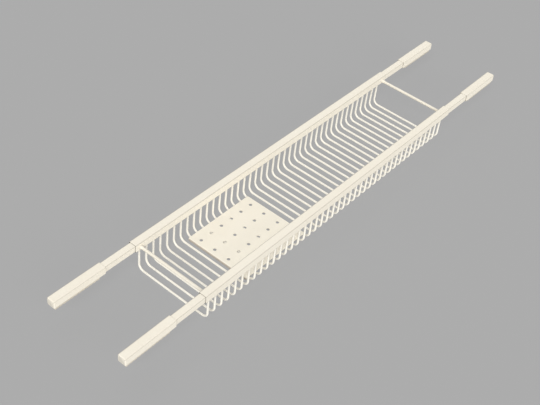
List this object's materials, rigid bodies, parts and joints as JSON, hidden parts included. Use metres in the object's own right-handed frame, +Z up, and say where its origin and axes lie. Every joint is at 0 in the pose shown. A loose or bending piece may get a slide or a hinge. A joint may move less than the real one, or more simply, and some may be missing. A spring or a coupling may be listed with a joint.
{
  "type": "bath rack",
  "caption": "Extending rack that spans a bath: square rails carry a basket of bent wires with a pierced soap tray, and sliding arms with soft grips rest on the rims.",
  "frame": {"origin": "under the middle of the basket, level with the undersides of its wires", "axes": "+X along the rails, towards the end away from the soap tray; +Y across the rack; +Z up"},
  "size_m": [0.751, 0.124, 0.0501],
  "materials": {
    "coating": "satin",
    "grip": "matte",
    "glide": "matte"
  },
  "bodies": {
    "basket": {"front_rail": "coating", "rear_rail": "coating", "left_cross_bar": "coating", "right_cross_bar": "coating", "basket_wire_01": "coating", "basket_wire_02": "coating", "basket_wire_03": "coating", "basket_wire_04": "coating", "basket_wire_05": "coating", "basket_wire_06": "coating", "basket_wire_07": "coating", "basket_wire_08": "coating", "basket_wire_09": "coating", "basket_wire_10": "coating", "basket_wire_11": "coating", "basket_wire_12": "coating", "basket_wire_13": "coating", "basket_wire_14": "coating", "basket_wire_15": "coating", "basket_wire_16": "coating", "basket_wire_17": "coating", "basket_wire_18": "coating", "basket_wire_19": "coating", "basket_wire_20": "coating", "basket_wire_21": "coating", "basket_wire_22": "coating", "basket_wire_23": "coating", "basket_wire_24": "coating", "basket_wire_25": "coating", "basket_wire_26": "coating", "basket_wire_27": "coating", "basket_wire_28": "coating", "basket_wire_29": "coating", "basket_wire_30": "coating", "basket_wire_31": "coating", "basket_wire_32": "coating", "basket_wire_33": "coating", "basket_wire_34": "coating", "basket_wire_35": "coating", "basket_wire_36": "coating", "basket_wire_37": "coating", "basket_wire_38": "coating", "basket_wire_39": "coating", "basket_wire_40": "coating", "basket_wire_41": "coating", "basket_wire_42": "coating"},
    "front_left_sliding_arm": {"front_left_arm": "coating", "front_left_grip": "grip", "front_left_glide": "glide"},
    "front_right_sliding_arm": {"front_right_arm": "coating", "front_right_grip": "grip", "front_right_glide": "glide"},
    "rear_left_sliding_arm": {"rear_left_arm": "coating", "rear_left_grip": "grip", "rear_left_glide": "glide"},
    "rear_right_sliding_arm": {"rear_right_arm": "coating", "rear_right_grip": "grip", "rear_right_glide": "glide"},
    "loose_tray": {"soap_tray": "coating"}
  },
  "joints": [
    {"name": "front_left_arm_slide", "type": "slide", "parent": "basket", "child": "front_left_sliding_arm", "axis": [-1, 0, 0], "range_m": [-0.046, 0.081]},
    {"name": "front_right_arm_slide", "type": "slide", "parent": "basket", "child": "front_right_sliding_arm", "axis": [1, 0, 0], "range_m": [-0.046, 0.081]},
    {"name": "rear_left_arm_slide", "type": "slide", "parent": "basket", "child": "rear_left_sliding_arm", "axis": [-1, 0, 0], "range_m": [-0.046, 0.081]},
    {"name": "rear_right_arm_slide", "type": "slide", "parent": "basket", "child": "rear_right_sliding_arm", "axis": [1, 0, 0], "range_m": [-0.046, 0.081]},
    {"name": "soap_tray_lift", "type": "slide", "parent": "basket", "child": "loose_tray", "axis": [0, 0, 1], "range_m": [0, 0.08]}
  ]
}
